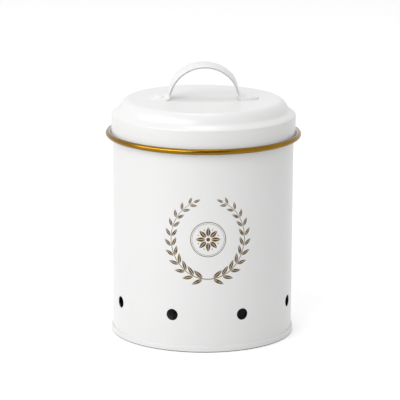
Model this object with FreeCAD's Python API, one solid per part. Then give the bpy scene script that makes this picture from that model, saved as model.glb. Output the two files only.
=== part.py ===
"""Garlic keeper: a vented sheet-metal canister with a lift-off lid.

Millimetres. The origin is the centre of the base, on the surface that the tin stands on.
+Z is up and -Y is the front. The wall is one rolled sheet, the base is double-seamed to it,
and the lid's ledge sits on the wall's rolled mouth.
"""

import FreeCAD, Part
import math
import os

from FreeCAD import Vector

# Tin body
BODY_RADIUS = 60.0
BODY_HEIGHT = 148.5
BODY_SHEET = 0.28
MOUTH_CURL_RADIUS = 1.3
SIDE_SEAM_WIDTH = 5.0
SIDE_SEAM_LAYERS = 3
SIDE_SEAM_END_GAP = 1.0
SIDE_SEAM_GROOVE = 0.5

# Vent holes
VENT_COUNT = 8
VENT_DIAMETER = 7.75
VENT_HEIGHT = 24.6

# Base and the double seam that joins it to the wall
SEAM_HEIGHT = 4.2
SEAM_GAP = 0.02
SEAM_FOOT_BEND = 0.65
SEAM_TOP_BEND = 0.4
HOOK_END_GAP = 0.35
BASE_PANEL_HEIGHT = 5.5
BASE_PANEL_BEND = 1.0
BASE_BEAD_RADIUS = 48.0
BASE_BEAD_WIDTH = 9.0
BASE_BEAD_DEPTH = 1.0
BASE_BEAD_SLOPE = 1.5

# Lid
LID_SHEET = 0.35
LID_CLEARANCE = 0.85
LID_SEAT_GAP = 0.3
LEDGE_WIDTH = 4.2
LEDGE_SLOPE = 33.7
LEDGE_BEND = 4.0
SKIRT_BEND = 2.0
SKIRT_DEPTH = 13.45
SHOULDER_RISE = 7.0
SHOULDER_WIDTH = 5.55
SHOULDER_TURN = 20.0
SHOULDER_RADIUS = 12.0
CREASE_BEND = 5.0

# Hoop round the lid's lower edge
HOOP_RADIUS = 1.85
HOOP_SKIRT_GAP = 0.1
FLANGE_WIDTH = 1.3
FLANGE_GAP = 0.02

# Strap handle
STRAP_WIDTH = 17.0
STRAP_SHEET = 1.15
STRAP_CROWN = 2.2
ARCH_RADIUS = 23.3
ARCH_HEIGHT = 21.9
FOOT_BEND = 2.5
FLATTENED_ARC = 35.0
FOOT_END_RADIUS = 6.5

# Rivets
RIVET_SPACING = 60.0
RIVET_SHANK_DIAMETER = 3.2
RIVET_HOLE_CLEARANCE = 0.05
RIVET_HEAD_DIAMETER = 7.0
RIVET_HEAD_HEIGHT = 1.3
RIVET_UPSET_DIAMETER = 5.6
RIVET_UPSET_HEIGHT = 0.9

# Pressed folds with a smaller inside radius than this are sharp corners
SHARP_FOLD = 0.3

# Places worked out from the sizes above
AXIS = Vector(0, 0, 1)
ORIGIN = Vector(0, 0, 0)
LAYER = BODY_SHEET + SEAM_GAP
WALL_LINE = BODY_RADIUS - BODY_SHEET / 2
SKIRT_RADIUS = BODY_RADIUS + LID_CLEARANCE + LID_SHEET


def ledge_height(radius):
    """Height of the ledge's outer face at a radius, as it rests over the rolled mouth."""
    slope = math.radians(LEDGE_SLOPE)
    curl_centre_radius = BODY_RADIUS - MOUTH_CURL_RADIUS
    curl_centre_height = BODY_HEIGHT - MOUTH_CURL_RADIUS
    reach = MOUTH_CURL_RADIUS + LID_SEAT_GAP + LID_SHEET
    along = (radius - curl_centre_radius) * math.sin(slope)
    return curl_centre_height + (reach - along) / math.cos(slope)


LEDGE_INNER_RADIUS = SKIRT_RADIUS - LEDGE_WIDTH
LID_TOP = ledge_height(LEDGE_INNER_RADIUS) + SHOULDER_RISE
HOOP_HEIGHT = ledge_height(SKIRT_RADIUS) - SKIRT_DEPTH
HOOP_CENTRE_RADIUS = SKIRT_RADIUS + HOOP_SKIRT_GAP + HOOP_RADIUS
FOOT_LINE = LID_TOP + STRAP_SHEET / 2
ARCH_CENTRE = LID_TOP + ARCH_HEIGHT - ARCH_RADIUS


def corner(radius, height):
    """A point of a turned profile."""
    return Vector(radius, 0, height)


def left_of(direction):
    """The direction a quarter turn to the left of another one in the XZ plane."""
    return Vector(-direction.z, 0, direction.x)


def direction_between(start, end):
    """Unit direction from one point to another."""
    return (end - start).normalize()


def shifted_path(points, bends, shift):
    """Corners and bend radii of the path that runs beside the given one, shift to its left."""
    moved = [points[0] + left_of(direction_between(points[0], points[1])) * shift]
    moved_bends = []
    for before, point, after, bend in zip(points, points[1:], points[2:], bends):
        into = left_of(direction_between(before, point))
        out = left_of(direction_between(point, after))
        moved.append(point + (into + out) * (shift / (1 + into.dot(out))))
        turns_left = into.x * out.z - into.z * out.x > 0
        moved_bend = bend - shift if turns_left else bend + shift
        moved_bends.append(moved_bend if bend > 0 and moved_bend > SHARP_FOLD else 0)
    moved.append(points[-1] + left_of(direction_between(points[-2], points[-1])) * shift)
    return moved, moved_bends


def path_edges(points, bends):
    """Lines through the corners of a path, with tangent arcs where a corner has a bend."""
    edges = []
    start = points[0]
    for before, point, after, bend in zip(points, points[1:], points[2:], bends):
        into = direction_between(before, point)
        out = direction_between(point, after)
        half_turn = into.getAngle(out) / 2
        trim = bend * math.tan(half_turn)
        inward = (out - into).normalize()
        first = point - into * trim
        middle = point + inward * (bend / math.cos(half_turn) - bend)
        last = point + out * trim
        if first.distanceToPoint(start) > 1e-6:
            edges.append(Part.LineSegment(start, first).toShape())
        if bend > 0:
            edges.append(Part.Arc(first, middle, last).toShape())
        start = last
    if points[-1].distanceToPoint(start) > 1e-6:
        edges.append(Part.LineSegment(start, points[-1]).toShape())
    return edges


def turned_sheet(points, bends, left, right):
    """Sheet of revolution that lies between two shifts, to the left and right of a path."""
    left_edges = path_edges(*shifted_path(points, bends, left))
    right_edges = path_edges(*shifted_path(points, bends, -right))
    left_start = left_edges[0].firstVertex(True).Point
    left_end = left_edges[-1].lastVertex(True).Point
    right_start = right_edges[0].firstVertex(True).Point
    right_end = right_edges[-1].lastVertex(True).Point
    caps = [
        Part.LineSegment(left_end, right_end).toShape(),
        Part.LineSegment(right_start, left_start).toShape(),
    ]
    outline = Part.Wire(Part.__sortEdges__(left_edges + right_edges + caps))
    return Part.Face(outline).revolve(ORIGIN, AXIS, 360)


def wall_ring():
    """Rolled mouth, straight wall and the outward hook of the double seam."""
    curl = MOUTH_CURL_RADIUS - BODY_SHEET / 2
    top = BODY_HEIGHT - BODY_SHEET / 2
    hook_bottom = BODY_SHEET + SEAM_GAP + BODY_SHEET / 2
    hook_top = SEAM_HEIGHT - BODY_SHEET - SEAM_GAP - HOOK_END_GAP
    points = [
        corner(WALL_LINE - 2 * curl, top - 2 * curl),
        corner(WALL_LINE - 2 * curl, top),
        corner(WALL_LINE, top),
        corner(WALL_LINE, hook_bottom),
        corner(WALL_LINE + 2 * LAYER, hook_bottom),
        corner(WALL_LINE + 2 * LAYER, hook_top),
    ]
    bends = [curl, curl, 0, SEAM_FOOT_BEND - LAYER]
    return turned_sheet(points, bends, BODY_SHEET / 2, BODY_SHEET / 2)


def side_seam():
    """Folded layers of the wall's side seam, which lie flat against its inside."""
    bottom = BASE_PANEL_HEIGHT + BODY_SHEET / 2 + SIDE_SEAM_END_GAP
    top = BODY_HEIGHT - 2 * MOUTH_CURL_RADIUS - SIDE_SEAM_END_GAP
    inner_radius = BODY_RADIUS - BODY_SHEET * (1 + SIDE_SEAM_LAYERS)
    outer_radius = BODY_RADIUS - BODY_SHEET / 2
    tall = Part.makeCylinder(outer_radius, top - bottom, Vector(0, 0, bottom))
    core = Part.makeCylinder(inner_radius, top - bottom, Vector(0, 0, bottom))
    slice_box = Part.makeBox(
        SIDE_SEAM_WIDTH, BODY_RADIUS, top - bottom, Vector(-SIDE_SEAM_WIDTH / 2, 0, bottom)
    )
    return tall.cut(core).common(slice_box)


def side_seam_groove():
    """Shallow line down the outside of the wall, where the folded edge tucks in."""
    bottom = SEAM_HEIGHT + SIDE_SEAM_END_GAP
    top = BODY_HEIGHT - 2 * MOUTH_CURL_RADIUS
    depth = BODY_SHEET / 2
    corner_point = Vector(
        SIDE_SEAM_WIDTH / 2 - SIDE_SEAM_GROOVE, BODY_RADIUS - depth, bottom
    )
    return Part.makeBox(SIDE_SEAM_GROOVE, 2 * depth, top - bottom, corner_point)


def vent_drills():
    """One radial cylinder for each vent hole; the front lies midway between two holes."""
    drills = []
    for index in range(VENT_COUNT):
        turn = math.radians(-90 + (index + 0.5) * 360 / VENT_COUNT)
        outward = Vector(math.cos(turn), math.sin(turn), 0)
        start = outward * (BODY_RADIUS / 2) + Vector(0, 0, VENT_HEIGHT)
        drills.append(Part.makeCylinder(VENT_DIAMETER / 2, BODY_RADIUS, start, outward))
    return drills


def make_body_wall():
    """Rolled wall with its mouth, side seam, vent holes and bottom hook."""
    wall = wall_ring().fuse(side_seam())
    return wall.cut([side_seam_groove()] + vent_drills())


def make_body_base():
    """Recessed base panel with an expansion bead, and the outer half of the double seam."""
    half_sheet = BODY_SHEET / 2
    chuck_wall = BODY_RADIUS - BODY_SHEET - SEAM_GAP - half_sheet
    cover_hook = BODY_RADIUS + SEAM_GAP + half_sheet
    seam_wall = cover_hook + 2 * LAYER
    seam_top = SEAM_HEIGHT - half_sheet
    hook_end = 2 * BODY_SHEET + SEAM_GAP + HOOK_END_GAP
    panel = BASE_PANEL_HEIGHT
    bead_inner = BASE_BEAD_RADIUS - BASE_BEAD_WIDTH / 2
    bead_outer = BASE_BEAD_RADIUS + BASE_BEAD_WIDTH / 2
    bead_floor = panel - BASE_BEAD_DEPTH
    points = [
        corner(0, panel),
        corner(bead_inner - BASE_BEAD_SLOPE, panel),
        corner(bead_inner, bead_floor),
        corner(bead_outer, bead_floor),
        corner(bead_outer + BASE_BEAD_SLOPE, panel),
        corner(chuck_wall, panel),
        corner(chuck_wall, half_sheet),
        corner(seam_wall, half_sheet),
        corner(seam_wall, seam_top),
        corner(cover_hook, seam_top),
        corner(cover_hook, hook_end),
    ]
    bends = [0, 0, 0, 0, BASE_PANEL_BEND, 0, SEAM_FOOT_BEND, SEAM_TOP_BEND, 0]
    return turned_sheet(points, bends, half_sheet, half_sheet)


def shoulder_corner():
    """The corner that the shoulder's gentle curve rounds off."""
    crease = corner(LEDGE_INNER_RADIUS - SHOULDER_WIDTH, LID_TOP)
    foot = corner(LEDGE_INNER_RADIUS, ledge_height(LEDGE_INNER_RADIUS))
    half_chord = crease.distanceToPoint(foot) / 2
    outward = left_of(direction_between(crease, foot))
    bulge = half_chord * math.tan(math.radians(SHOULDER_TURN / 2))
    return (crease + foot) * 0.5 + outward * bulge


def rivet_axes():
    """Centre of each rivet, left then right, on the lid's top face."""
    return [Vector(side * RIVET_SPACING / 2, 0, LID_TOP) for side in (-1, 1)]


def rivet_holes(depth_below, height_above):
    """Cylinders that pierce what the rivets join."""
    radius = RIVET_SHANK_DIAMETER / 2 + RIVET_HOLE_CLEARANCE
    drop = Vector(0, 0, depth_below)
    length = depth_below + height_above
    return [Part.makeCylinder(radius, length, point - drop) for point in rivet_axes()]


def make_lid_shell():
    """Drawn lid: flat top, shoulder, ledge, skirt, and the flange that holds the hoop."""
    flange_face = HOOP_HEIGHT + LID_SHEET / 2
    points = [
        corner(0, LID_TOP),
        corner(LEDGE_INNER_RADIUS - SHOULDER_WIDTH, LID_TOP),
        shoulder_corner(),
        corner(LEDGE_INNER_RADIUS, ledge_height(LEDGE_INNER_RADIUS)),
        corner(SKIRT_RADIUS, ledge_height(SKIRT_RADIUS)),
        corner(SKIRT_RADIUS, flange_face),
        corner(SKIRT_RADIUS + FLANGE_WIDTH, flange_face),
    ]
    bends = [CREASE_BEND, SHOULDER_RADIUS, LEDGE_BEND, SKIRT_BEND, 0]
    shell = turned_sheet(points, bends, 0, LID_SHEET)
    return shell.cut(rivet_holes(2 * LID_SHEET, LID_SHEET))


def make_lid_rim_hoop():
    """Round hoop whose inner groove grips the lid's flange."""
    hoop = Part.makeTorus(HOOP_CENTRE_RADIUS, HOOP_RADIUS, Vector(0, 0, HOOP_HEIGHT))
    groove_height = LID_SHEET + 2 * FLANGE_GAP
    groove_floor = SKIRT_RADIUS + FLANGE_WIDTH + FLANGE_GAP
    base = Vector(0, 0, HOOP_HEIGHT - groove_height / 2)
    return hoop.cut(Part.makeCylinder(groove_floor, groove_height, base))


def strap_section(place, outward, crown):
    """Closed section of the strap at a point of its path, bowed outward by its crown."""
    half_width = STRAP_WIDTH / 2
    half_sheet = STRAP_SHEET / 2
    tilt = math.atan2(4 * crown, STRAP_WIDTH)
    across = Vector(0, 1, 0)
    end_across = half_sheet * math.sin(tilt)
    end_out = half_sheet * math.cos(tilt)

    def point(sideways, out):
        return place + across * sideways + outward * out

    def bow(side):
        reach = half_width + side * end_across
        out = side * end_out
        middle = 2 * crown + side * (2 * half_sheet - end_out)
        curve = Part.BezierCurve()
        curve.setPoles([point(-side * reach, out), point(0, middle), point(side * reach, out)])
        return curve.toShape()

    outer, inner = bow(1), bow(-1)
    near_edge = Part.LineSegment(outer.Vertexes[1].Point, inner.Vertexes[0].Point).toShape()
    far_edge = Part.LineSegment(inner.Vertexes[1].Point, outer.Vertexes[0].Point).toShape()
    return Part.Wire([outer, near_edge, inner, far_edge])


def arch_station(angle):
    """Point and outward direction of the arch, at an angle from its top towards the right."""
    turn = math.radians(angle)
    outward = Vector(math.sin(turn), 0, math.cos(turn))
    return corner(0, ARCH_CENTRE) + outward * ARCH_RADIUS, outward


def foot_bend():
    """Centre of the bend from leg to foot, and the arch angle at which it starts."""
    rise = FOOT_LINE + FOOT_BEND - ARCH_CENTRE
    reach = ARCH_RADIUS + FOOT_BEND
    run = math.sqrt(reach * reach - rise * rise)
    return corner(run, FOOT_LINE + FOOT_BEND), math.degrees(math.atan2(run, rise))


def right_leg():
    """Loft down the right leg, in which the strap's crown fades out towards the foot."""
    crowned = foot_bend()[1] - FLATTENED_ARC
    steps = 4
    sections = []
    for step in range(steps + 1):
        share = step / steps
        fade = 0.5 + 0.5 * math.cos(math.pi * share)
        place, outward = arch_station(crowned + FLATTENED_ARC * share)
        sections.append(strap_section(place, outward, STRAP_CROWN * fade))
    return Part.makeLoft(sections, True, False)


def right_bend():
    """Flat strap turned outward, from the end of the leg onto the lid."""
    centre, start = foot_bend()
    place, outward = arch_station(start)
    section = Part.Face(strap_section(place, outward, 0))
    return section.revolve(centre, Vector(0, 1, 0), -start)


def strap_arch():
    """Crowned upper part of the strap, swept about the arch's axis."""
    crowned = foot_bend()[1] - FLATTENED_ARC
    place, outward = arch_station(-crowned)
    section = Part.Face(strap_section(place, outward, STRAP_CROWN))
    return section.revolve(corner(0, ARCH_CENTRE), Vector(0, 1, 0), 2 * crowned)


def right_foot():
    """Flat tongue under the rivet's head, drawn in from the strap's width to a round end."""
    start = foot_bend()[0].x
    half_width = STRAP_WIDTH / 2
    centre = RIVET_SPACING / 2
    gap = math.hypot(centre - start, half_width)
    swing = math.acos(FOOT_END_RADIUS / gap)
    away = math.atan2(half_width, start - centre)
    touch = away - swing
    near = Vector(start, half_width, LID_TOP)
    touch_point = Vector(
        centre + FOOT_END_RADIUS * math.cos(touch), FOOT_END_RADIUS * math.sin(touch), LID_TOP
    )
    tip = Vector(centre + FOOT_END_RADIUS, 0, LID_TOP)
    near_mirror = Vector(near.x, -near.y, near.z)
    touch_mirror = Vector(touch_point.x, -touch_point.y, touch_point.z)
    outline = Part.Wire([
        Part.LineSegment(near, touch_point).toShape(),
        Part.Arc(touch_point, tip, touch_mirror).toShape(),
        Part.LineSegment(touch_mirror, near_mirror).toShape(),
        Part.LineSegment(near_mirror, near).toShape(),
    ])
    return Part.Face(outline).extrude(Vector(0, 0, STRAP_SHEET))


def make_lid_handle():
    """Bent strap handle with its two riveted feet."""
    right_pieces = [right_leg(), right_bend(), right_foot()]
    left_pieces = [piece.mirror(ORIGIN, Vector(1, 0, 0)) for piece in right_pieces]
    handle = strap_arch().fuse(right_pieces + left_pieces)
    return handle.cut(rivet_holes(LID_SHEET, 2 * STRAP_SHEET))


def cap_arc(edge, rise):
    """Arc of a spherical cap, from the pole on the axis to the cap's edge."""
    ball = (edge.x * edge.x + rise * rise) / (2 * abs(rise))
    side = math.copysign(1, rise)
    centre = edge.z + rise - side * ball
    half_spread = math.asin(min(1.0, edge.x / ball)) / 2
    middle = corner(ball * math.sin(half_spread), centre + side * ball * math.cos(half_spread))
    return Part.Arc(corner(0, edge.z + rise), middle, edge).toShape()


def make_rivet(point):
    """Domed head, shank through foot and lid, and the end formed over inside the lid."""
    head_edge = corner(RIVET_HEAD_DIAMETER / 2, STRAP_SHEET)
    upset_edge = corner(RIVET_UPSET_DIAMETER / 2, -LID_SHEET)
    shank_top = corner(RIVET_SHANK_DIAMETER / 2, head_edge.z)
    shank_bottom = corner(RIVET_SHANK_DIAMETER / 2, upset_edge.z)
    head_pole = corner(0, head_edge.z + RIVET_HEAD_HEIGHT)
    upset_pole = corner(0, upset_edge.z - RIVET_UPSET_HEIGHT)
    outline = Part.Wire([
        cap_arc(head_edge, RIVET_HEAD_HEIGHT),
        Part.LineSegment(head_edge, shank_top).toShape(),
        Part.LineSegment(shank_top, shank_bottom).toShape(),
        Part.LineSegment(shank_bottom, upset_edge).toShape(),
        cap_arc(upset_edge, -RIVET_UPSET_HEIGHT),
        Part.LineSegment(upset_pole, head_pole).toShape(),
    ])
    rivet = Part.Face(outline).revolve(ORIGIN, AXIS, 360)
    return rivet.translated(point)


def main():
    """Build each piece and write it to its own file."""
    left_rivet, right_rivet = [make_rivet(point) for point in rivet_axes()]
    pieces = {
        "body_wall": make_body_wall(),
        "body_base": make_body_base(),
        "lid_shell": make_lid_shell(),
        "lid_rim_hoop": make_lid_rim_hoop(),
        "lid_handle": make_lid_handle(),
        "handle_rivet_left": left_rivet,
        "handle_rivet_right": right_rivet,
    }
    os.makedirs("parts", exist_ok=True)
    for name, shape in pieces.items():
        shape.exportStep("parts/" + name + ".step")
        print(name, "valid", shape.isValid(), "solids", len(shape.Solids), "volume", round(shape.Volume, 1))


main()
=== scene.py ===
"""Looks of the garlic keeper: painted sheet metal, gold-coloured hoop, printed ornament, studio.

Metres. The frame's origin is the centre of the base, +Z is up and -Y is the front.
"""

import math

import bmesh
import bpy
from mathutils import Matrix, Vector


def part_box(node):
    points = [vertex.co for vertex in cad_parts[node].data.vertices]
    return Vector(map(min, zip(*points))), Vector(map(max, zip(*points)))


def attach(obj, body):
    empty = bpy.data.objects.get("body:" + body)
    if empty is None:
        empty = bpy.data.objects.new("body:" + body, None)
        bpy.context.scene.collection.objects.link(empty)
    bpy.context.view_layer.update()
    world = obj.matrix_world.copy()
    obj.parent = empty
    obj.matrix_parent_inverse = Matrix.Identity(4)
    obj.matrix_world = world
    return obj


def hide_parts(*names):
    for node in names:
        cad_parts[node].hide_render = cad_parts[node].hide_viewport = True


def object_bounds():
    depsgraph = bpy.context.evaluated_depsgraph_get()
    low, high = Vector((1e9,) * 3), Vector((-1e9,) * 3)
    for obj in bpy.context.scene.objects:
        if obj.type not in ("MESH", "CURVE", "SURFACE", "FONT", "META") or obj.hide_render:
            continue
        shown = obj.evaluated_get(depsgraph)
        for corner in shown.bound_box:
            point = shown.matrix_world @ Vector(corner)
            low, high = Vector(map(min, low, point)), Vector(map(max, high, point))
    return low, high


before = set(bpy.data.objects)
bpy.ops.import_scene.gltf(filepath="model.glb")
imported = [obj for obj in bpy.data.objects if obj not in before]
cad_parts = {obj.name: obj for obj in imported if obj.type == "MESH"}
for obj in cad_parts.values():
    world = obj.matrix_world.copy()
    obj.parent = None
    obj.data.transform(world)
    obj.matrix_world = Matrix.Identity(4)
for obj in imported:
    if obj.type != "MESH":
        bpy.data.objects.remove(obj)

bl_info = {
    "name": "Garlic keeper",
    "version": (1, 0, 0),
    "blender": (4, 5, 0),
    "location": "View3D > Sidebar > Garlic keeper",
    "description": "Builds a vented tin canister with a lift-off lid, and the studio it stands in",
    "category": "Add Mesh",
}

CAD_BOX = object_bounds()
WALL_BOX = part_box("body_wall")
BASE_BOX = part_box("body_base")
LID_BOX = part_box("lid_shell")
HOOP_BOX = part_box("lid_rim_hoop")
STRAP_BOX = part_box("lid_handle")
RIVET_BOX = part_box("handle_rivet_right")

PHOTO_PIXELS = 400
FULL_TURN = 2 * math.pi
UP = Vector((0, 0, 1))
UPRIGHT = Matrix.Rotation(math.pi / 2, 4, "X")
TOLERANCE = 1e-6
MERGE_DISTANCE = 1e-7
# Columns of the wall's grid from one vent to the next.
VENT_COLUMNS = 36
# Grid steps from a vent's centre to the end of the patch that its own faces fill.
VENT_PATCH = 4
LAMP_SHARE = "Light from this lamp, as a share of plain white light"
LAMP_TURN = "Where this lamp stands, from the view to the right"
LAMP_RISE = "How high this lamp stands"


def length(name, description, default):
    """A size in metres that a user can change."""
    return bpy.props.FloatProperty(
        name=name, description=description, default=default, unit="LENGTH", precision=5
    )


def angle(name, description, degrees):
    """An angle that a user can change, written in degrees."""
    return bpy.props.FloatProperty(
        name=name, description=description, default=math.radians(degrees), unit="ROTATION"
    )


def number(name, description, default):
    """A plain factor that a user can change."""
    return bpy.props.FloatProperty(name=name, description=description, default=default, precision=3)


def count(name, description, default):
    """A whole number that a user can change."""
    return bpy.props.IntProperty(name=name, description=description, default=default, min=1)


def colour(name, description, default):
    """A linear colour that a user can change."""
    return bpy.props.FloatVectorProperty(
        name=name, description=description, default=default, subtype="COLOR", size=3, min=0, max=1
    )


class TinBodySizes(bpy.types.PropertyGroup):
    """Sizes of the rolled wall and of the base that is seamed to it."""

    wall_radius: length("Wall radius", "Outside radius of the rolled wall", 0.060)
    sheet: length("Body sheet", "Thickness of the wall and the base", 0.00028)
    wall_foot: length("Wall foot", "Height at which the wall ends inside the seam", WALL_BOX[0].z)
    mouth_height: length("Mouth height", "Top of the rolled mouth", WALL_BOX[1].z)
    curl_radius: length("Curl radius", "Outside radius of the rolled mouth", 0.0013)
    curl_turn: angle("Curl turn", "How far the mouth is rolled", 290)
    vent_count: count("Vents", "Number of vent holes", 8)
    vent_diameter: length("Vent diameter", "Diameter of a vent hole", 0.00775)
    vent_height: length("Vent height", "Height of the vent holes' centres", 0.0246)
    side_seam_width: length("Side seam width", "Width of the folded side seam", 0.005)
    side_seam_groove: length("Side seam groove", "Width of the line that the side seam leaves", 0.0008)
    side_seam_depth: length("Side seam depth", "Depth of the line that the side seam leaves", 0.00024)
    side_seam_layers: count("Side seam layers", "Layers of sheet that the side seam lays inside the wall", 3)
    side_seam_gap: length("Side seam gap", "Gap above and below the folded layers", 0.001)
    fold_round: length("Fold round", "Radius of the folded layers' edges", 0.0002)
    seam_radius: length("Seam radius", "Outside radius of the bottom seam", BASE_BOX[1].x)
    seam_height: length("Seam height", "Height of the bottom seam", 0.0042)
    seam_foot_bend: length("Seam foot bend", "Radius of the seam's lower edge", 0.00065)
    panel_top: length("Panel top", "Upper face of the base panel", BASE_BOX[1].z)
    bead_radius: length("Bead radius", "Middle radius of the bead pressed into the base", 0.048)
    bead_width: length("Bead width", "Width of the bead's floor", 0.009)
    bead_depth: length("Bead depth", "Depth of the bead", 0.001)
    bead_slope: length("Bead slope", "Run of each side of the bead", 0.0015)


class LidSizes(bpy.types.PropertyGroup):
    """Sizes of the drawn lid and of its hoop."""

    sheet: length("Lid sheet", "Thickness of the lid", 0.00035)
    top: length("Lid top", "Height of the flat top", LID_BOX[1].z)
    flange_width: length("Flange width", "Reach of the flange that holds the hoop", 0.0013)
    ledge_width: length("Ledge width", "Width of the ledge that rests on the mouth", 0.0042)
    ledge_slope: angle("Ledge slope", "Fall of the ledge towards the skirt", 33.7)
    shoulder_rise: length("Shoulder rise", "Height of the shoulder above the ledge", 0.0070)
    shoulder_width: length("Shoulder width", "Width of the shoulder", 0.00555)
    shoulder_turn: angle("Shoulder turn", "How far the shoulder's gentle curve turns", 20)
    shoulder_radius: length("Shoulder radius", "Radius of the shoulder's gentle curve", 0.012)
    crease_bend: length("Crease bend", "Radius where the flat top meets the shoulder", 0.005)
    ledge_bend: length("Ledge bend", "Radius where the shoulder meets the ledge", 0.004)
    skirt_bend: length("Skirt bend", "Radius where the ledge turns into the skirt", 0.0014)


class HandleSizes(bpy.types.PropertyGroup):
    """Sizes of the strap handle and its rivets."""

    strap_width: length("Strap width", "Width of the strap", 0.017)
    strap_sheet: length("Strap sheet", "Thickness of the strap", 0.00115)
    crown: length("Crown", "How far the strap bows outward across its width", 0.0022)
    arch_radius: length("Arch radius", "Radius of the arch's middle line", 0.0233)
    arch_height: length("Arch height", "Height of the arch's middle line at the strap's edges", 0.0219)
    foot_bend: length("Foot bend", "Radius where a leg turns into its foot", 0.0025)
    flattened_arc: angle("Flattened arc", "Stretch of the leg in which the crown fades out", 35)
    foot_end_radius: length("Foot end radius", "Radius of the foot's round end", 0.0065)
    edge_round: length("Edge round", "Radius of the painted edges", 0.00015)
    rivet_upset_radius: length("Rivet end radius", "Radius of the formed end inside the lid", 0.0028)
    rivet_upset_height: length("Rivet end height", "Height of the formed end inside the lid", 0.0009)


class OrnamentSizes(bpy.types.PropertyGroup):
    """Sizes of the ornament printed on the front."""

    height: length("Ornament height", "Height of the ornament's centre", 0.0760)
    ink: length("Ink", "How far the print stands on the wall", 0.00003)
    wreath_width: length("Wreath width", "Half width of the wreath's stems", 0.0245)
    wreath_height: length("Wreath height", "Half height of the wreath's stems", 0.0265)
    leaf_count: count("Leaves", "Pairs of leaves on each branch", 11)
    leaf_length: length("Leaf length", "Length of the longest leaf", 0.0082)
    leaf_width: length("Leaf width", "Width of the longest leaf", 0.0026)
    line: length("Line", "Width of the fine lines", 0.00040)
    rosette_radius: length("Rosette radius", "Radius of the ring round the rosette", 0.0115)
    petal_count: count("Petals", "Number of petals in the rosette", 8)


class Finishes(bpy.types.PropertyGroup):
    """Colours of the finishes."""

    white: colour("White paint", "Colour of the powder coat", (0.86, 0.86, 0.855))
    # Painted shade: a grey for the strap's cut edges over the arch, where they lie in shade.
    thin_coat: colour("Thin coat", "Colour of the paint on the strap's cut edges", (0.58, 0.58, 0.575))
    thin_coat_height: length("Thin coat height", "Height over the feet from which the coat is thin", 0.0045)
    # Painted contact shade: a dark band along the foot, up to this height, where the tin meets the floor.
    worn: colour("Worn foot", "Colour of the edge that the tin stands on", (0.13, 0.13, 0.13))
    worn_height: length("Worn height", "Height up to which the foot's paint is worn", 0.0005)
    gold: colour("Gold", "Colour of the hoop", (0.238, 0.123, 0.010))
    hoop_inside: colour("Hoop inside", "Colour of the hoop's side that faces the skirt", (0.40, 0.42, 0.44))
    # Painted shade: far darker than real tin, so the inside and the vents look dark.
    steel: colour("Tin steel", "Colour of the bare inside", (0.20, 0.20, 0.20))
    ink: colour("Ink", "Colour of the printed ornament", (0.138, 0.072, 0.002))
    floor: colour("Floor", "Colour of the floor", (0.80, 0.80, 0.80))
    card: colour("Card", "Colour of the dark card that the metal mirrors", (0.01, 0.01, 0.01))


class StudioSettings(bpy.types.PropertyGroup):
    """Camera and lamps."""

    distance: length("Distance", "From the camera to the point it looks at", 1.712)
    azimuth: angle("Azimuth", "How far the camera stands to the right of the front", -3.44)
    elevation: angle("Elevation", "How high the camera stands", 13.04)
    roll: angle("Roll", "How far the camera is rolled", 0.44)
    aim_right: length("Aim right", "Point looked at, to the right of the axis", -0.00193)
    aim_height: length("Aim height", "Height of the point looked at", 0.0884)
    pixels_per_metre: number("Pixels per metre", "Scale of the picture at the point looked at", 1495.0)
    ambient: number("Ambient", "Strength of the light from all round", 0.60)
    key_share: number("Key light", LAMP_SHARE, 0.15)
    key_azimuth: angle("Key azimuth", LAMP_TURN, -65)
    key_elevation: angle("Key elevation", LAMP_RISE, 15)
    front_share: number("Front light", LAMP_SHARE, 0.295)
    front_azimuth: angle("Front azimuth", LAMP_TURN, -32)
    front_elevation: angle("Front elevation", LAMP_RISE, 35)
    top_share: number("Top light", LAMP_SHARE, 0.16)
    top_azimuth: angle("Top azimuth", LAMP_TURN, 180)
    top_elevation: angle("Top elevation", LAMP_RISE, 80)
    strip_glow: number("Strip", "Brightness of the strip, which only gloss mirrors", 9.0)
    strip_azimuth: angle("Strip azimuth", LAMP_TURN, -55)
    strip_elevation: angle("Strip elevation", LAMP_RISE, 38)
    strip_width: length("Strip width", "Width of the strip", 2.4)
    strip_height: length("Strip height", "Height of the strip", 0.40)
    lamp_distance: length("Lamp distance", "From the tin to each lamp", 2.0)
    lamp_size: length("Lamp size", "Side of the key and front lamps", 1.2)
    top_size: length("Top lamp size", "Side of the top lamp", 0.6)
    card_distance: length("Card distance", "From the axis to the dark card behind the camera", 2.2)
    card_width: length("Card width", "Width of the dark card", 2.6)
    card_height: length("Card height", "Height of the dark card", 2.4)
    floor_size: length("Floor size", "Side of the floor", 12.0)
    floor_glow: number("Floor glow", "White that the camera adds to the floor", 0.25)
    floor_shade: number("Floor shade", "Share of the floor's seen white that shadows take away", 1.0)


def polar(radius, turn, height):
    """Point at a turn from the front towards the right."""
    return Vector((radius * math.sin(turn), -radius * math.cos(turn), height))


def rounded_path(corners, bends, steps=6):
    """Points of a profile through the corners, with each bend turned as an arc."""
    points = [corners[0]]
    for before, point, after, bend in zip(corners, corners[1:], corners[2:], bends):
        into = (point - before).normalized()
        out = (after - point).normalized()
        half_turn = into.angle(out) / 2
        if bend <= 0 or half_turn < TOLERANCE:
            points.append(point)
            continue
        centre = point + (out - into).normalized() * (bend / math.cos(half_turn))
        reach = bend * math.tan(half_turn)
        first = (point - into * reach - centre).normalized()
        last = (point + out * reach - centre).normalized()
        for step in range(steps + 1):
            points.append(centre + first.slerp(last, step / steps) * bend)
    points.append(corners[-1])
    return points


def on_profile(radius, height):
    """Point in the XZ plane, where every profile is drawn."""
    return Vector((radius, 0, height))


def spin(mesh, steps):
    """Turns the profile in the mesh about the tin's axis."""
    profile = mesh.verts[:] + mesh.edges[:]
    bmesh.ops.spin(mesh, geom=profile, cent=(0, 0, 0), axis=UP, angle=FULL_TURN, steps=steps, use_merge=True)


def spun(points, steps):
    """Mesh turned from the points of a profile."""
    mesh = bmesh.new()
    verts = [mesh.verts.new(point) for point in points]
    for pair in zip(verts, verts[1:]):
        mesh.edges.new(pair)
    spin(mesh, steps)
    return mesh


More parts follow.
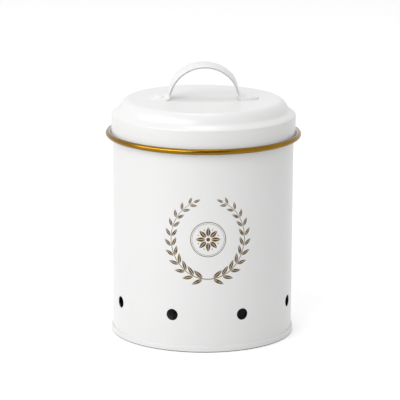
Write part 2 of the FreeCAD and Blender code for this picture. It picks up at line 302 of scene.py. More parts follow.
def new_object(name, mesh, materials):
    """Object from a bmesh, linked to the scene."""
    data = bpy.data.meshes.new(name)
    mesh.to_mesh(data)
    mesh.free()
    for material in materials:
        data.materials.append(material)
    made = bpy.data.objects.new(name, data)
    bpy.context.scene.collection.objects.link(made)
    return made


def make_piece(name, mesh, materials, body, replaced=()):
    """Piece of the keeper from a bmesh, on its body, with outward faces."""
    bmesh.ops.remove_doubles(mesh, verts=mesh.verts, dist=MERGE_DISTANCE)
    bmesh.ops.recalc_face_normals(mesh, faces=mesh.faces)
    piece = new_object(name, mesh, materials)
    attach(piece, body)
    if replaced:
        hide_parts(*replaced)
    return piece


def thicken(piece, sheet, offset, inside=0, rim=0):
    """Gives the sheet its thickness; offset -1 keeps the outer face in place."""
    modifier = piece.modifiers.new("sheet", "SOLIDIFY")
    modifier.thickness = sheet
    modifier.offset = offset
    modifier.use_even_offset = True
    modifier.use_quality_normals = True
    modifier.material_offset = inside
    modifier.material_offset_rim = rim


def round_edges(piece, radius):
    """Rounds the sharp edges, as a coat of paint does."""
    modifier = piece.modifiers.new("edges", "BEVEL")
    modifier.width = radius
    modifier.segments = 3
    modifier.limit_method = "ANGLE"
    modifier.angle_limit = math.radians(50)


def settle(piece):
    """Applies the modifiers and shades smoothly between sharp edges."""
    bpy.context.view_layer.update()
    evaluated = piece.evaluated_get(bpy.context.evaluated_depsgraph_get())
    data = bpy.data.meshes.new_from_object(evaluated)
    data.name = piece.name
    piece.modifiers.clear()
    piece.data = data
    data.shade_smooth()
    data.set_sharp_from_angle(angle=math.radians(35))


def node_material(name):
    """Material and its node tree."""
    material = bpy.data.materials.new(name)
    material.use_nodes = True
    return material, material.node_tree


def new_finish(name):
    """Material with its node tree, its shader and the piece's own coordinates."""
    material, tree = node_material(name)
    place = tree.nodes.new("ShaderNodeTexCoord").outputs["Object"]
    return material, tree, tree.nodes["Principled BSDF"], place


def noise(tree, place, waves, detail=2.0):
    """Noise of so many waves to the metre."""
    node = tree.nodes.new("ShaderNodeTexNoise")
    node.inputs["Scale"].default_value = waves
    node.inputs["Detail"].default_value = detail
    tree.links.new(place, node.inputs["Vector"])
    return node.outputs["Fac"]


def ramp(tree, value, start, end, low=0, high=1):
    """Low below the start, high above the end, and even in between."""
    node = tree.nodes.new("ShaderNodeMapRange")
    node.inputs["From Min"].default_value = start
    node.inputs["From Max"].default_value = end
    node.inputs["To Min"].default_value = low
    node.inputs["To Max"].default_value = high
    tree.links.new(value, node.inputs["Value"])
    return node.outputs["Result"]


def clouds(tree, place, waves, low=0, high=1):
    """Soft clouds between low and high, from the middle of a noise of so many waves to the metre."""
    return ramp(tree, noise(tree, place, waves), start=0.3, end=0.7, low=low, high=high)


def blended(tree, share, first, second):
    """Colour between two others, each of which is plain or the output of a node."""
    node = tree.nodes.new("ShaderNodeMix")
    node.data_type = "RGBA"
    for name, tint in (("A", first), ("B", second)):
        if isinstance(tint, bpy.types.NodeSocket):
            tree.links.new(tint, node.inputs[name])
        else:
            node.inputs[name].default_value = (*tint, 1)
    tree.links.new(share, node.inputs["Factor"])
    return node.outputs["Result"]


def mottled(tree, place, waves, tint, dark, light):
    """The colour with clouds that are darker and lighter by these factors."""
    shades = [[channel * factor for channel in tint] for factor in (dark, light)]
    return blended(tree, clouds(tree, place, waves), *shades)


def roughen(tree, shader, place, waves, low, high):
    """Clouds the roughness between low and high."""
    tree.links.new(clouds(tree, place, waves, low, high), shader.inputs["Roughness"])


def bump(tree, shader, place, waves, depth, strength):
    """Raises the surface by a fine noise of that depth."""
    node = tree.nodes.new("ShaderNodeBump")
    node.inputs["Strength"].default_value = strength
    node.inputs["Distance"].default_value = depth
    tree.links.new(noise(tree, place, waves, detail=1.0), node.inputs["Height"])
    tree.links.new(node.outputs["Normal"], shader.inputs["Normal"])


def height_at(tree, place):
    """Height of the place above the floor."""
    node = tree.nodes.new("ShaderNodeSeparateXYZ")
    tree.links.new(place, node.inputs["Vector"])
    return node.outputs["Z"]


def distance_from_axis(tree, place):
    """Distance of the place from the tin's axis."""
    flat = tree.nodes.new("ShaderNodeVectorMath")
    flat.operation = "MULTIPLY"
    flat.inputs[1].default_value = (1, 1, 0)
    tree.links.new(place, flat.inputs[0])
    radius = tree.nodes.new("ShaderNodeVectorMath")
    radius.operation = "LENGTH"
    tree.links.new(flat.outputs["Vector"], radius.inputs[0])
    return radius.outputs["Value"]


def white_powder_coat():
    """Satin powder coat with a faint orange peel, and painted contact shade: a dark band along the foot
    where the tin meets the floor.
    """
    finishes = bpy.context.scene.keeper_finishes
    material, tree, shader, place = new_finish("white_powder_coat")
    coat = mottled(tree, place, 25.0, finishes.white, 0.992, 1.0)
    # Painted contact shade: the foot is coloured dark up to this height.
    foot_shade_end = 1.4 * finishes.worn_height
    above_foot_shade = ramp(tree, height_at(tree, place), finishes.worn_height, foot_shade_end)
    tree.links.new(blended(tree, above_foot_shade, finishes.worn, coat), shader.inputs["Base Color"])
    roughen(tree, shader, place, 140.0, 0.29, 0.34)
    shader.inputs["IOR"].default_value = 1.5
    bump(tree, shader, place, 700.0, 0.00002, 0.35)
    return material


def edge_shade_coat():
    """Paint on the strap's cut edges, with painted shade: grey over the arch, where the edges lie in shade,
    and white at the feet.
    """
    finishes = bpy.context.scene.keeper_finishes
    material, tree, shader, place = new_finish("edge_shade_coat")
    shaded_grey = mottled(tree, place, 160.0, finishes.thin_coat, 0.92, 1.05)
    # Painted shade: the cut edges turn grey above the feet.
    shade_from = STRAP_BOX[0].z + finishes.thin_coat_height
    white_to = shade_from - finishes.thin_coat_height / 2
    raised = ramp(tree, height_at(tree, place), white_to, shade_from)
    tree.links.new(blended(tree, raised, finishes.white, shaded_grey), shader.inputs["Base Color"])
    roughen(tree, shader, place, 140.0, 0.32, 0.40)
    return material


def gold_plate():
    """Gold-coloured metal of the hoop, which is bare on the side that faces the skirt."""
    finishes = bpy.context.scene.keeper_finishes
    material, tree, shader, place = new_finish("gold_plate")
    gold = mottled(tree, place, 60.0, finishes.gold, 0.93, 1.05)
    tube = (HOOP_BOX[1].z - HOOP_BOX[0].z) / 2
    middle = HOOP_BOX[1].x - tube
    bare_to, plated_from = middle - 0.35 * tube, middle + 0.05 * tube
    plated = ramp(tree, distance_from_axis(tree, place), bare_to, plated_from)
    tree.links.new(blended(tree, plated, finishes.hoop_inside, gold), shader.inputs["Base Color"])
    roughen(tree, shader, place, 220.0, 0.20, 0.27)
    shader.inputs["Metallic"].default_value = 1.0
    bump(tree, shader, place, 900.0, 0.00001, 0.25)
    return material


def bare_steel_with_painted_shade():
    """Bare tinned steel inside the canister and the lid, with streaks that run up the wall, darkened well
    below real tin as painted shade inside the closed tin.
    """
    material, tree, shader, place = new_finish("bare_steel_with_painted_shade")
    drawn = tree.nodes.new("ShaderNodeMapping")
    drawn.inputs["Scale"].default_value = (1, 1, 0.04)
    tree.links.new(place, drawn.inputs["Vector"])
    # Painted shade: the steel colour is far darker than real tin.
    tint = bpy.context.scene.keeper_finishes.steel
    streaked = mottled(tree, drawn.outputs["Vector"], 800.0, tint, 0.85, 1.1)
    tree.links.new(streaked, shader.inputs["Base Color"])
    roughen(tree, shader, place, 90.0, 0.30, 0.42)
    shader.inputs["Metallic"].default_value = 1.0
    return material


def gold_ink():
    """Brown-gold printing ink with a slight mottle."""
    material, tree, shader, place = new_finish("gold_ink")
    tint = bpy.context.scene.keeper_finishes.ink
    tree.links.new(mottled(tree, place, 450.0, tint, 0.85, 1.15), shader.inputs["Base Color"])
    roughen(tree, shader, place, 600.0, 0.42, 0.55)
    shader.inputs["IOR"].default_value = 1.3
    return material


def finish(maker):
    """The finish that a function makes, made once and then shared."""
    return bpy.data.materials.get(maker.__name__) or maker()


def sheet_finishes():
    """Finishes of a sheet: painted outside and bare inside."""
    return [finish(white_powder_coat), finish(bare_steel_with_painted_shade)]


def wall_rows(sizes, pitch):
    """Heights along the flat sheet: close rows at the vents and in the curl, wide ones between."""
    vent_rows = [sizes.vent_height + pitch * row for row in range(-VENT_PATCH - 1, VENT_PATCH + 2)]
    tangent = sizes.mouth_height - sizes.curl_radius
    plain_steps = 12
    plain_pitch = (tangent - vent_rows[-1]) / plain_steps
    rows = [sizes.wall_foot, (sizes.wall_foot + vent_rows[0]) / 2] + vent_rows
    rows += [vent_rows[-1] + plain_pitch * (step + 1) for step in range(plain_steps)]
    curl_steps = 20
    curl_length = sizes.curl_radius * sizes.curl_turn
    rows += [tangent + curl_length * (step + 1) / curl_steps for step in range(curl_steps)]
    return rows


def flat_sheet(columns, rows, width):
    """Flat grid with the given rows, as wide as the wall is round."""
    mesh = bmesh.new()
    bmesh.ops.create_grid(mesh, x_segments=columns, y_segments=len(rows) - 1, size=1)
    for vert in mesh.verts:
        row = round((vert.co.y + 1) / 2 * (len(rows) - 1))
        vert.co = Vector((vert.co.x * width / 2, rows[row], 0))
    return mesh


def punch(mesh, centre, radius, pitch):
    """Punches a round hole into the flat sheet, with faces that run from it to the grid."""
    reach = (VENT_PATCH + 0.1) * pitch

    def near(part):
        offsets = [vert.co - centre for vert in part.verts]
        return all(max(abs(offset.x), abs(offset.y)) < reach for offset in offsets)

    bmesh.ops.delete(mesh, geom=[face for face in mesh.faces if near(face)], context="FACES")
    border = [edge for edge in mesh.edges if edge.is_boundary and near(edge)]
    for part in bmesh.ops.extrude_edge_only(mesh, edges=border)["geom"]:
        if isinstance(part, bmesh.types.BMVert):
            part.co = centre + (part.co - centre).normalized() * radius


def rolled(mesh, sizes):
    """Rolls the flat sheet up and curls its mouth."""
    tangent = sizes.mouth_height - sizes.curl_radius
    groove = math.pi * sizes.wall_radius - (sizes.side_seam_width - sizes.side_seam_groove) / 2
    for shift in (-0.5, 0, 0.5):
        bmesh.ops.bisect_plane(
            mesh, geom=mesh.verts[:] + mesh.edges[:] + mesh.faces[:],
            plane_co=(groove + shift * sizes.side_seam_groove, 0, 0), plane_no=(1, 0, 0),
        )
    for vert in mesh.verts:
        along, up = vert.co.x, vert.co.y
        radius, height = sizes.wall_radius, up
        if up > tangent:
            turn = (up - tangent) / sizes.curl_radius
            radius += sizes.curl_radius * (math.cos(turn) - 1)
            height = tangent + sizes.curl_radius * math.sin(turn)
        elif abs(along - groove) < TOLERANCE:
            radius -= sizes.side_seam_depth
        vert.co = polar(radius, along / sizes.wall_radius, height)


class AddTinWall(bpy.types.Operator):
    """Rolls the wall from a flat sheet with punched vents, a side seam and a curled mouth"""

    bl_idname = "keeper.add_tin_wall"
    bl_label = "Tin wall"

    def execute(self, context):
        sizes = context.scene.keeper_body
        columns = VENT_COLUMNS * sizes.vent_count
        width = FULL_TURN * sizes.wall_radius
        pitch = width / columns
        mesh = flat_sheet(columns, wall_rows(sizes, pitch), width)
        for index in range(sizes.vent_count):
            along = width * ((index + 0.5) / sizes.vent_count - 0.5)
            punch(mesh, Vector((along, sizes.vent_height, 0)), sizes.vent_diameter / 2, pitch)
        rolled(mesh, sizes)
        wall = make_piece("tin_wall", mesh, sheet_finishes(), "canister", ["body_wall"])
        thicken(wall, sizes.sheet, -1, inside=1)
        settle(wall)
        return {"FINISHED"}


class AddSideSeam(bpy.types.Operator):
    """Lays the folded layers of the side seam against the inside of the wall's back"""

    bl_idname = "keeper.add_side_seam"
    bl_label = "Side seam"

    def execute(self, context):
        sizes = context.scene.keeper_body
        thickness = sizes.side_seam_layers * sizes.sheet
        radius = sizes.wall_radius - sizes.sheet - thickness / 2
        bottom = sizes.panel_top + sizes.side_seam_gap
        top = sizes.mouth_height - 2 * sizes.curl_radius - sizes.side_seam_gap
        mesh = bmesh.new()
        bmesh.ops.create_grid(mesh, x_segments=8, y_segments=1, size=1)
        for vert in mesh.verts:
            turn = math.pi + vert.co.x * sizes.side_seam_width / 2 / sizes.wall_radius
            vert.co = polar(radius, turn, top if vert.co.y > 0 else bottom)
        fold = make_piece("side_seam_fold", mesh, [finish(bare_steel_with_painted_shade)], "canister")
        thicken(fold, thickness, 0)
        round_edges(fold, sizes.fold_round)
        settle(fold)
        return {"FINISHED"}


class AddTinBase(bpy.types.Operator):
    """Turns the base panel with its bead and the outer half of the double seam"""

    bl_idname = "keeper.add_tin_base"
    bl_label = "Tin base"

    def execute(self, context):
        sizes = context.scene.keeper_body
        half = sizes.sheet / 2
        gap_to_wall = 0.00002
        panel = sizes.panel_top - half
        chuck_wall = sizes.wall_radius - sizes.sheet - gap_to_wall - half
        seam = sizes.seam_radius - half
        bead_inner = sizes.bead_radius - sizes.bead_width / 2
        bead_outer = sizes.bead_radius + sizes.bead_width / 2
        corners = [
            (0, panel),
            (bead_inner - sizes.bead_slope, panel),
            (bead_inner, panel - sizes.bead_depth),
            (bead_outer, panel - sizes.bead_depth),
            (bead_outer + sizes.bead_slope, panel),
            (chuck_wall, panel),
            (chuck_wall, half),
            (seam, half),
            (seam, sizes.seam_height - half),
            (sizes.wall_radius + half, sizes.seam_height - half),
            (sizes.wall_radius + half, sizes.seam_height / 2),
        ]
        bead_bend = 0.0012
        panel_bend = 0.001
        chuck_foot_bend = 0.00025
        seam_top_bend = 0.0004
        hook_bend = 0.00015
        seam_bends = [chuck_foot_bend, sizes.seam_foot_bend, seam_top_bend, hook_bend]
        bends = [bead_bend] * 4 + [panel_bend] + seam_bends
        mesh = spun(rounded_path([on_profile(*corner) for corner in corners], bends), steps=240)
        base = make_piece("tin_base", mesh, [finish(white_powder_coat)], "canister", ["body_base"])
        thicken(base, sizes.sheet, 0)
        settle(base)
        return {"FINISHED"}


def lid_corners(sizes):
    """Corners of the lid's outer face, from the middle of its top to the hoop's groove."""
    skirt = LID_BOX[1].x - sizes.flange_width
    ledge_foot = skirt - sizes.ledge_width
    ledge_top = sizes.top - sizes.shoulder_rise
    crease = on_profile(ledge_foot - sizes.shoulder_width, sizes.top)
    foot = on_profile(ledge_foot, ledge_top)
    outward = Vector((crease.z - foot.z, 0, foot.x - crease.x)).normalized()
    bulge = (foot - crease).length / 2 * math.tan(sizes.shoulder_turn / 2)
    flange = (HOOP_BOX[0].z + HOOP_BOX[1].z) / 2 + sizes.sheet / 2
    return [
        on_profile(0, sizes.top),
        crease,
        (crease + foot) / 2 + outward * bulge,
        foot,
        on_profile(skirt, ledge_top - sizes.ledge_width * math.tan(sizes.ledge_slope)),
        on_profile(skirt, flange),
        on_profile(skirt + sizes.flange_width, flange),
    ]


class AddLidShell(bpy.types.Operator):
    """Turns the drawn lid: flat top, shoulder, ledge, skirt and flange"""

    bl_idname = "keeper.add_lid_shell"
    bl_label = "Lid"

    def execute(self, context):
        sizes = context.scene.keeper_lid
        bends = [sizes.crease_bend, sizes.shoulder_radius, sizes.ledge_bend, sizes.skirt_bend, 0]
        mesh = spun(rounded_path(lid_corners(sizes), bends, steps=8), steps=288)
        lid = make_piece("lid_top", mesh, sheet_finishes(), "lid", ["lid_shell"])
        thicken(lid, sizes.sheet, -1, inside=1)
        settle(lid)
        return {"FINISHED"}


class AddRimHoop(bpy.types.Operator):
    """Turns the round hoop that grips the lid's lower edge"""

    bl_idname = "keeper.add_rim_hoop"
    bl_label = "Rim hoop"

    def execute(self, context):
        low, high = HOOP_BOX
        tube = (high.z - low.z) / 2
        centre = on_profile(high.x - tube, (low.z + high.z) / 2)
        mesh = bmesh.new()
        place = Matrix.Translation(centre) @ UPRIGHT
        bmesh.ops.create_circle(mesh, segments=32, radius=tube, matrix=place)
        spin(mesh, steps=288)
        hoop = make_piece("gold_hoop", mesh, [finish(gold_plate)], "lid", ["lid_rim_hoop"])
        settle(hoop)
        return {"FINISHED"}


def strap_stations(sizes):
    """Length along the strap and half width there, from the arch's top to the foot's round end."""
    centre, bend_start = strap_foot(sizes)
    arch = sizes.arch_radius * bend_start
    bend = sizes.foot_bend * bend_start
    start = arch + bend
    half_width = sizes.strap_width / 2
    end_radius = sizes.foot_end_radius
    rivet = (RIVET_BOX[0].x + RIVET_BOX[1].x) / 2
    rivet_along = start + rivet - centre.x
    gap = math.hypot(rivet - centre.x, half_width)
    touch = math.atan2(half_width, centre.x - rivet) - math.acos(end_radius / gap)
    touch_along = rivet_along + end_radius * math.cos(touch)
    touch_width = end_radius * math.sin(touch)
    tip = math.radians(3)
    arch_steps, bend_steps, side_steps, end_steps = 48, 10, 8, 16
    stations = [(arch * step / arch_steps, half_width) for step in range(arch_steps)]
    stations += [(arch + bend * step / bend_steps, half_width) for step in range(bend_steps + 1)]
    for step in range(1, side_steps):
        share = step / side_steps
        along = start + (touch_along - start) * share
        stations.append((along, half_width + (touch_width - half_width) * share))
    for step in range(end_steps + 1):
        turn = touch + (tip - touch) * step / end_steps
        stations.append((rivet_along + end_radius * math.cos(turn), end_radius * math.sin(turn)))
    return stations


def strap_foot(sizes):
    """Centre of the bend from leg to foot, and the arch angle at which it starts."""
    foot_line = STRAP_BOX[0].z + sizes.strap_sheet / 2
    arch_centre = STRAP_BOX[0].z + sizes.arch_height - sizes.arch_radius
    rise = foot_line + sizes.foot_bend - arch_centre
    reach = sizes.arch_radius + sizes.foot_bend
    run = math.sqrt(reach * reach - rise * rise)
    return on_profile(run, foot_line + sizes.foot_bend), math.atan2(run, rise)


def strap_place(sizes, along):
    """Point of the strap's middle line, outward direction and crown, at a length from the top."""
    centre, bend_start = strap_foot(sizes)
    side = math.copysign(1, along)
    along = abs(along)
    arch = sizes.arch_radius * bend_start
    bend = sizes.foot_bend * bend_start
    if along <= arch:
        turn = along / sizes.arch_radius
        outward = on_profile(math.sin(turn), math.cos(turn))
        arch_centre = on_profile(0, STRAP_BOX[0].z + sizes.arch_height - sizes.arch_radius)
        fading = (turn - bend_start) / sizes.flattened_arc + 1
        crown = sizes.crown * (0.5 + 0.5 * math.cos(math.pi * min(1, max(0, fading))))
        place = arch_centre + outward * sizes.arch_radius
    elif along <= arch + bend:
        turn = bend_start - (along - arch) / sizes.foot_bend
        outward = on_profile(math.sin(turn), math.cos(turn))
        place, crown = centre - outward * sizes.foot_bend, 0
    else:
        outward, crown = UP.copy(), 0
        place = centre - outward * sizes.foot_bend + on_profile(along - arch - bend, 0)
    place.x *= side
    outward.x *= side
    return place, outward, crown


class AddStrapHandle(bpy.types.Operator):
    """Bends the strap handle from a flat strip, with its crown and round feet"""

    bl_idname = "keeper.add_strap_handle"
    bl_label = "Strap handle"

    def execute(self, context):
        sizes = context.scene.keeper_handle
        half = strap_stations(sizes)
        stations = [(-along, width) for along, width in reversed(half[1:])] + half
        mesh = bmesh.new()
        bmesh.ops.create_grid(mesh, x_segments=len(stations) - 1, y_segments=16, size=1)
        for vert in mesh.verts:
            along, half_width = stations[round((vert.co.x + 1) / 2 * (len(stations) - 1))]
            place, outward, crown = strap_place(sizes, along)
            bow = crown * (1 - vert.co.y * vert.co.y)
            vert.co = place + outward * bow + Vector((0, vert.co.y * half_width, 0))
        # The cut edges get the grey painted shade over the arch.
        finishes = [finish(white_powder_coat), finish(edge_shade_coat)]
        handle = make_piece("strap_handle", mesh, finishes, "lid", ["lid_handle"])
        thicken(handle, sizes.strap_sheet, 0, rim=1)
        round_edges(handle, sizes.edge_round)
        settle(handle)
        return {"FINISHED"}


def domed(radius, foot, rise, fullness=1.0):
    """Profile of a dome from its middle to its rim; a negative rise turns it downward."""
    steps = 12
    turns = [math.pi / 2 * step / steps for step in range(steps + 1)]
    return [on_profile(radius * math.sin(turn), foot + rise * math.cos(turn) ** fullness) for turn in turns]


class AddHandleRivets(bpy.types.Operator):
    """Turns the two domed rivets with their formed ends"""

    bl_idname = "keeper.add_handle_rivets"
    bl_label = "Rivets"

    def execute(self, context):
        sizes = context.scene.keeper_handle
        lid_sheet = context.scene.keeper_lid.sheet
        centre = (RIVET_BOX[0].x + RIVET_BOX[1].x) / 2
        head_radius = RIVET_BOX[1].x - centre
        seat = STRAP_BOX[0].z + sizes.strap_sheet
        dome = RIVET_BOX[1].z - seat
        under = STRAP_BOX[0].z - lid_sheet
        shank = [on_profile(head_radius / 2, seat), on_profile(head_radius / 2, under)]
        formed_end = domed(sizes.rivet_upset_radius, under, -sizes.rivet_upset_height)
        profile = domed(head_radius, seat, dome, fullness=1.2) + shank + formed_end[::-1]
        for side, node in ((-1, "handle_rivet_left"), (1, "handle_rivet_right")):
            mesh = spun(profile, steps=64)
            bmesh.ops.translate(mesh, verts=mesh.verts, vec=(side * centre, 0, 0))
            name = node.replace("handle_", "") + "_dome"
            rivet = make_piece(name, mesh, [finish(white_powder_coat)], "lid", [node])
            settle(rivet)
        return {"FINISHED"}


def flat_direction(turn):
    """Unit direction in the flat print, at a turn from straight up."""
    return Vector((math.sin(turn), math.cos(turn)))


def add_strip(mesh, middle, half_width):
    """Fine strip along a line: middle gives its points and half_width its width, both from a share."""
    step = 1e-4
    for vert in bmesh.ops.create_grid(mesh, x_segments=96, y_segments=1, size=1)["verts"]:
        share = (vert.co.x + 1) / 2
        side = math.copysign(1, vert.co.y)
        before, after = middle(max(0, share - step)), middle(min(1, share + step))
        across = (after - before).orthogonal().normalized()
        vert.co = (middle(share) + across * (side * half_width(share))).to_3d()


def add_ring(mesh, radius, width):
    """Fine ring round the print's middle."""

    def circle(share):
        return Vector((radius * math.cos(FULL_TURN * share), radius * math.sin(FULL_TURN * share)))

    add_strip(mesh, circle, lambda share: width / 2)


def add_disc(mesh, centre, radius):
    """Round dot."""
    place = Matrix.Translation(centre.to_3d())
    bmesh.ops.create_circle(mesh, cap_ends=True, segments=20, radius=radius, matrix=place)


def add_leaf(mesh, root, direction, leaf_length, leaf_width):
    """Pointed leaf of two halves, which a fine gap parts down the middle."""
    half_gap = 0.00012
    clipped = 0.02
    for side in (-1, 1):
        across = direction.orthogonal().normalized() * side
        for vert in bmesh.ops.create_grid(mesh, x_segments=12, y_segments=1, size=1)["verts"]:
            share = clipped + (1 - 2 * clipped) * (vert.co.x + 1) / 2
            outer = leaf_width / 2 * math.sin(math.pi * share ** 0.8) if vert.co.y > 0 else 0
            along = direction * (leaf_length * share)
            vert.co = (root + along + across * max(half_gap, outer)).to_3d()


def add_branch(mesh, sizes, side):
    """One branch of the wreath, with its pairs of leaves and its berries."""
    start, end = math.radians(-98), math.radians(66)
    first_pair, last_pair = 0.09, 0.95
    shrink = 0.38
    leaf_turn = math.radians(34)
    leaf_gap = 2.2 * sizes.line
    berry_back = 0.045
    berry_reach = 6.2 * sizes.line
    berry_radius = 1.1 * sizes.line

    def stem(share):
        turn = start + (end - start) * share
        return Vector((side * sizes.wreath_width * math.cos(turn), sizes.wreath_height * math.sin(turn)))

    def taper(share):
        return sizes.line / 2 * (1.3 - 0.7 * share)

    add_strip(mesh, stem, taper)
    for index in range(sizes.leaf_count):
        share = first_pair + (last_pair - first_pair) * index / (sizes.leaf_count - 1)
        ahead = (stem(min(1, share + 0.01)) - stem(share - 0.01)).normalized()
        size = 1 - shrink * share
        for turn in (-leaf_turn, leaf_turn):
            direction = Matrix.Rotation(turn, 2) @ ahead
            root = stem(share) + direction * leaf_gap
            add_leaf(mesh, root, direction, sizes.leaf_length * size, sizes.leaf_width * size)
        if index % 2:
            outward = ahead.orthogonal().normalized() * (berry_reach * size)
            for place in (-outward, outward):
                add_disc(mesh, stem(share - berry_back) + place, berry_radius)
    ahead = (stem(1) - stem(0.99)).normalized()
    size = 1 - shrink
    add_leaf(mesh, stem(1) + ahead * sizes.line, ahead, sizes.leaf_length * size, sizes.leaf_width * size)


def add_rosette(mesh, sizes):
    """Two rings round pointed petals, with dots between them and one in the middle."""
    radius = sizes.rosette_radius
    add_ring(mesh, radius, sizes.line)
    add_ring(mesh, radius - 2.4 * sizes.line, sizes.line / 2)
    petal_root, petal_length, petal_width = 0.17 * radius, 0.55 * radius, 0.25 * radius
    dot_reach, dot_radius = 0.60 * radius, 0.9 * sizes.line
    for index in range(sizes.petal_count):
        petal = flat_direction(FULL_TURN * index / sizes.petal_count)
        between = flat_direction(FULL_TURN * (index + 0.5) / sizes.petal_count)
        add_leaf(mesh, petal * petal_root, petal, petal_length, petal_width)
        add_disc(mesh, between * dot_reach, dot_radius)
    add_disc(mesh, Vector((0, 0)), 0.11 * radius)


def print_on_wall(mesh, ink, radius, height):
    """Gives the flat print its thickness and lays it round the wall."""
    bmesh.ops.remove_doubles(mesh, verts=mesh.verts, dist=MERGE_DISTANCE)
    raised = bmesh.ops.extrude_face_region(mesh, geom=mesh.faces[:])["geom"]
    upper = [part for part in raised if isinstance(part, bmesh.types.BMVert)]
    bmesh.ops.translate(mesh, verts=upper, vec=UP * ink)
    for vert in mesh.verts:
        vert.co = polar(radius + vert.co.z, vert.co.x / radius, height + vert.co.y)


class AddOrnament(bpy.types.Operator):
    """Prints the laurel wreath and rosette on the front of the wall"""

    bl_idname = "keeper.add_ornament"
    bl_label = "Front ornament"

    def execute(self, context):
        sizes = context.scene.keeper_ornament
        wall_radius = context.scene.keeper_body.wall_radius
        mesh = bmesh.new()
        for side in (-1, 1):
            add_branch(mesh, sizes, side)
        add_rosette(mesh, sizes)
        print_on_wall(mesh, sizes.ink, wall_radius, sizes.height)
        ornament = make_piece("front_ornament", mesh, [finish(gold_ink)], "canister")
        settle(ornament)
        return {"FINISHED"}


def seen_directly(tree):
    """1 for rays that show a surface, straight or in gloss or glass."""
    path = tree.nodes.new("ShaderNodeLightPath")
    seen = path.outputs["Is Camera Ray"]
    for name in ("Is Glossy Ray", "Is Transmission Ray"):
        either = tree.nodes.new("ShaderNodeMath")
        either.operation = "MAXIMUM"
        tree.links.new(seen, either.inputs[0])
        tree.links.new(path.outputs[name], either.inputs[1])
        seen = either.outputs[0]
    return seen


def show_apart(tree, lighting, shown, output):
    """Gives rays that show the surface one shader, and rays that light the tin another."""
    either = tree.nodes.new("ShaderNodeMixShader")
    tree.links.new(seen_directly(tree), either.inputs["Fac"])
    tree.links.new(lighting, either.inputs[1])
    tree.links.new(shown, either.inputs[2])
    tree.links.new(either.outputs["Shader"], tree.nodes[output].inputs["Surface"])


def add_floor(studio, tint):
    """Pale floor that looks white and keeps the tin's shadow."""
    material, tree = node_material("studio_floor")
    tree.nodes.remove(tree.nodes["Principled BSDF"])
    plain = tree.nodes.new("ShaderNodeBsdfDiffuse")
    plain.inputs["Color"].default_value = (*tint, 1)
    shade = tree.nodes.new("ShaderNodeBsdfDiffuse")
    shade.inputs["Color"].default_value = (*[studio.floor_shade] * 3, 1)
    glow = tree.nodes.new("ShaderNodeEmission")
    glow.inputs["Strength"].default_value = studio.floor_glow
    shown = tree.nodes.new("ShaderNodeAddShader")
    tree.links.new(shade.outputs["BSDF"], shown.inputs[0])
    tree.links.new(glow.outputs["Emission"], shown.inputs[1])
    show_apart(tree, plain.outputs["BSDF"], shown.outputs["Shader"], "Material Output")
    mesh = bmesh.new()
    bmesh.ops.create_grid(mesh, x_segments=1, y_segments=1, size=studio.floor_size / 2)
    floor = new_object("studio_floor", mesh, [material])


def add_dark_card(studio, tint):
    """Dark card behind the camera, which only gloss mirrors."""
    material, tree = node_material("dark_card")
    tree.nodes["Principled BSDF"].inputs["Base Color"].default_value = (*tint, 1)
    mesh = bmesh.new()
    bmesh.ops.create_grid(mesh, x_segments=1, y_segments=1, size=0.5)
    bmesh.ops.scale(mesh, vec=(studio.card_width, studio.card_height, 1), verts=mesh.verts)
    bmesh.ops.transform(mesh, matrix=Matrix.Rotation(studio.azimuth, 4, "Z") @ UPRIGHT, verts=mesh.verts)
    place = studio_direction(studio.azimuth, 0) * studio.card_distance + UP * (studio.card_height / 2)
    bmesh.ops.translate(mesh, vec=place, verts=mesh.verts)
    card = new_object("dark_card", mesh, [material])
    card.visible_camera = False
    card.visible_diffuse = False
    card.visible_shadow = False


def light_world(studio):
    """Even light from all round, in front of a white background."""
    world = bpy.data.worlds.new("studio_world")
    world.use_nodes = True
    tree = world.node_tree
    even = tree.nodes["Background"]
    even.inputs["Color"].default_value = (1, 1, 1, 1)
    even.inputs["Strength"].default_value = studio.ambient
    white_ground = tree.nodes.new("ShaderNodeBackground")
    white_ground.inputs["Color"].default_value = (1, 1, 1, 1)
    show_apart(tree, even.outputs["Background"], white_ground.outputs["Background"], "World Output")
    bpy.context.scene.world = world


def studio_direction(turn, elevation):
    """Unit direction at a turn from the front towards the right, and at a height."""
    return Vector((
        math.sin(turn) * math.cos(elevation), -math.cos(turn) * math.cos(elevation), math.sin(elevation)
    ))


def add_lamp(studio, name, width, height):
    """Lamp that gives a surface facing it a share of plain white light; the strip has a glow instead."""
    target = Vector((0, 0, (CAD_BOX[0].z + CAD_BOX[1].z) / 2))
    azimuth = studio.azimuth + getattr(studio, name + "_azimuth")
    direction = studio_direction(azimuth, getattr(studio, name + "_elevation"))
    distance = studio.lamp_distance
    data = bpy.data.lights.new(name + "_lamp", "AREA")
    data.shape = "RECTANGLE"
    data.size = width
    data.size_y = height
    lamp = bpy.data.objects.new(name + "_lamp", data)
    if name == "strip":
        data.energy = studio.strip_glow * math.pi * width * height
    else:
        data.energy = getattr(studio, name + "_share") * math.pi ** 2 * distance ** 2
    lamp.location = target + direction * distance
    lamp.rotation_mode = "QUATERNION"
    lamp.rotation_quaternion = (-direction).to_track_quat("-Z", "Y")
    bpy.context.scene.collection.objects.link(lamp)
    return lamp


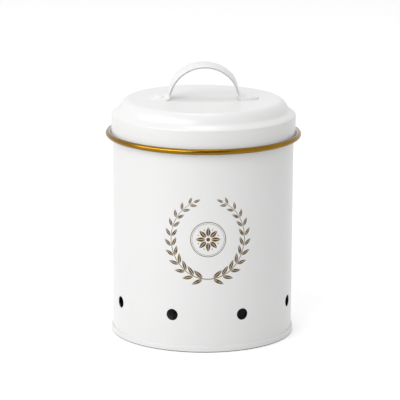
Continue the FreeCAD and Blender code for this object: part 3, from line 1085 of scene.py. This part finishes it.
def add_camera(studio):
    """Camera at the photograph's viewing angle."""
    back = studio_direction(studio.azimuth, studio.elevation)
    right = Vector((math.cos(studio.azimuth), math.sin(studio.azimuth), 0))
    up = back.cross(right)
    rolled_right = right * math.cos(studio.roll) + up * math.sin(studio.roll)
    rolled_up = up * math.cos(studio.roll) - right * math.sin(studio.roll)
    aim = right * studio.aim_right + UP * studio.aim_height
    data = bpy.data.cameras.new("studio_camera")
    data.lens = data.sensor_width * studio.pixels_per_metre * studio.distance / PHOTO_PIXELS
    data.clip_start = studio.distance / 20
    data.clip_end = studio.floor_size * 2
    camera = bpy.data.objects.new("studio_camera", data)
    turned = Matrix((rolled_right, rolled_up, back)).transposed().to_4x4()
    camera.matrix_world = Matrix.Translation(aim + back * studio.distance) @ turned
    bpy.context.scene.collection.objects.link(camera)
    bpy.context.scene.camera = camera


class SetStudio(bpy.types.Operator):
    """Sets up the floor, the white background, the soft lamps and the camera"""

    bl_idname = "keeper.set_studio"
    bl_label = "Studio"

    def execute(self, context):
        studio = context.scene.keeper_studio
        add_floor(studio, context.scene.keeper_finishes.floor)
        add_dark_card(studio, context.scene.keeper_finishes.card)
        light_world(studio)
        for name in ("key", "front"):
            add_lamp(studio, name, studio.lamp_size, studio.lamp_size)
        add_lamp(studio, "top", studio.top_size, studio.top_size)
        strip = add_lamp(studio, "strip", studio.strip_width, studio.strip_height)
        strip.visible_diffuse = False
        add_camera(studio)
        context.scene.view_settings.view_transform = "Standard"
        return {"FINISHED"}


GROUPS = {
    "keeper_body": TinBodySizes,
    "keeper_lid": LidSizes,
    "keeper_handle": HandleSizes,
    "keeper_ornament": OrnamentSizes,
    "keeper_finishes": Finishes,
    "keeper_studio": StudioSettings,
}
OPERATORS = (
    AddTinWall, AddSideSeam, AddTinBase, AddLidShell, AddRimHoop,
    AddStrapHandle, AddHandleRivets, AddOrnament, SetStudio,
)


class VIEW3D_PT_garlic_keeper(bpy.types.Panel):
    """Lists the pieces of the garlic keeper"""

    bl_label = "Garlic keeper"
    bl_space_type = "VIEW_3D"
    bl_region_type = "UI"
    bl_category = "Garlic keeper"

    def draw(self, context):
        for operator in OPERATORS:
            self.layout.operator(operator.bl_idname)
        for group in GROUPS:
            settings = getattr(context.scene, group)
            box = self.layout.box()
            for name in settings.__annotations__:
                box.prop(settings, name)


def register():
    """Makes the settings, the operators and the panel known."""
    for name, group in GROUPS.items():
        bpy.utils.register_class(group)
        setattr(bpy.types.Scene, name, bpy.props.PointerProperty(type=group))
    for cls in (*OPERATORS, VIEW3D_PT_garlic_keeper):
        bpy.utils.register_class(cls)


def unregister():
    """Undoes register."""
    for cls in (VIEW3D_PT_garlic_keeper, *reversed(OPERATORS)):
        bpy.utils.unregister_class(cls)
    for name, group in reversed(GROUPS.items()):
        delattr(bpy.types.Scene, name)
        bpy.utils.unregister_class(group)


def main():
    """Builds every piece and the studio."""
    register()
    bpy.ops.keeper.add_tin_wall()
    bpy.ops.keeper.add_side_seam()
    bpy.ops.keeper.add_tin_base()
    bpy.ops.keeper.add_lid_shell()
    bpy.ops.keeper.add_rim_hoop()
    bpy.ops.keeper.add_strap_handle()
    bpy.ops.keeper.add_handle_rivets()
    bpy.ops.keeper.add_ornament()
    bpy.ops.keeper.set_studio()


if __name__ == "__main__":
    main()
